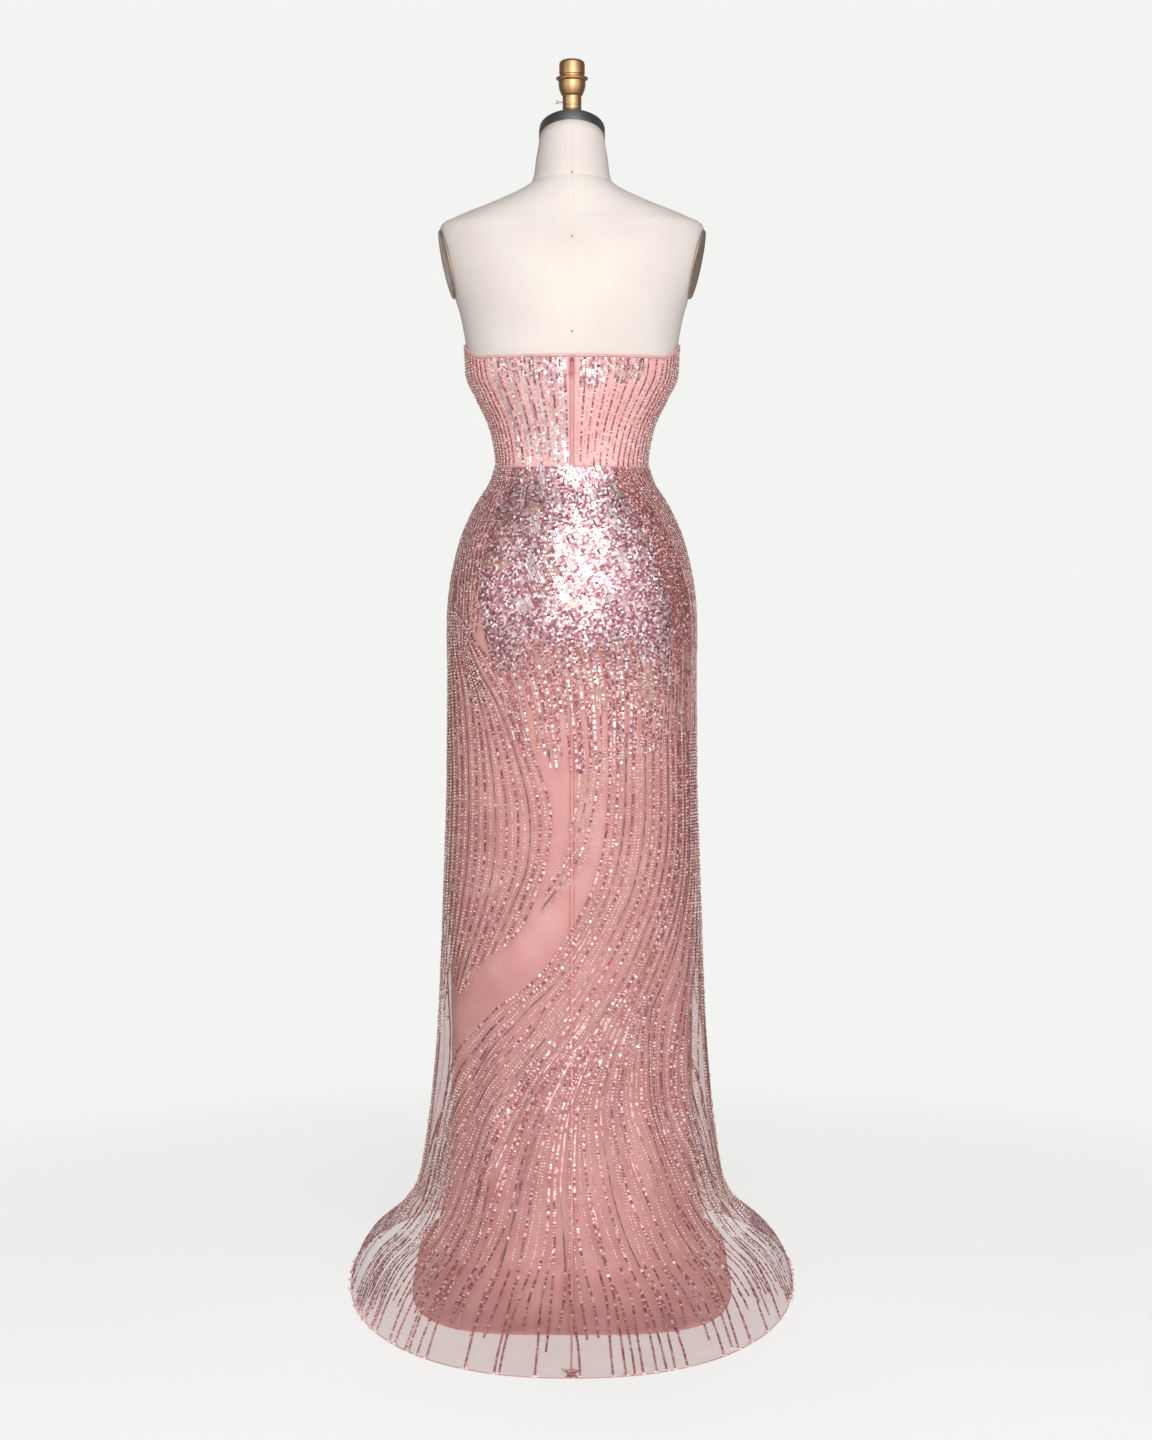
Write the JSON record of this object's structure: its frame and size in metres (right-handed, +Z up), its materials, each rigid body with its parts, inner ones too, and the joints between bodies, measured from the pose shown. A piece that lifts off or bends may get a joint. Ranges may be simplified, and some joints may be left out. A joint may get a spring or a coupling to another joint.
{
  "type": "evening gown on dress form",
  "caption": "Strapless fitted evening gown with a sheer beaded overlay and a short train, worn by a limbless dress form on a round-footed stand.",
  "frame": {"origin": "on the floor, at the middle of the underside of the stand's foot, under the pole", "axes": "+Z is up; the gown's front faces -Y and its train runs out towards +Y; the wearer's left is towards +X"},
  "size_m": [0.6334, 0.8559, 1.741],
  "materials": {
    "beaded_cloth": "dusty rose net over satin, covered in sequins and beads",
    "beaded_net": "sheer net with lines of sequins and beads",
    "satin": "smooth pink lining cloth",
    "zip_coil": "woven tape with a nylon coil",
    "painted_metal": "pink lacquered zinc",
    "canvas": "off-white cotton canvas",
    "arm_plate": "dark bronzed metal",
    "steel": "brushed steel",
    "brass": "polished brass",
    "cast_iron": "black painted cast iron"
  },
  "bodies": {
    "root": {"bodice_front": "beaded_cloth", "bodice_back_left": "beaded_cloth", "bodice_back_right": "beaded_cloth", "neckline_binding": "satin", "overlay_front": "beaded_net", "overlay_back_left": "beaded_net", "overlay_back_right": "beaded_net", "lining_front": "satin", "lining_back_left": "satin", "lining_back_right": "satin", "zip_tape": "zip_coil", "zip_slider": "painted_metal", "form_torso": "canvas", "arm_plate_left": "arm_plate", "arm_plate_right": "arm_plate", "neck_cap": "steel", "fitting_body": "brass", "fitting_ring": "brass", "fitting_dome": "brass", "fitting_screw": "brass", "stand_pole": "steel", "stand_hub": "cast_iron", "stand_foot": "cast_iron"},
    "zip_pull": {"zip_pull": "painted_metal"}
  },
  "joints": [
    {"name": "pull_hinge", "type": "hinge", "parent": "root", "child": "zip_pull", "pos_m": [0, 0.10577, 1.3051], "axis": [1, 0, 0], "range_deg": [0, 150]}
  ]
}
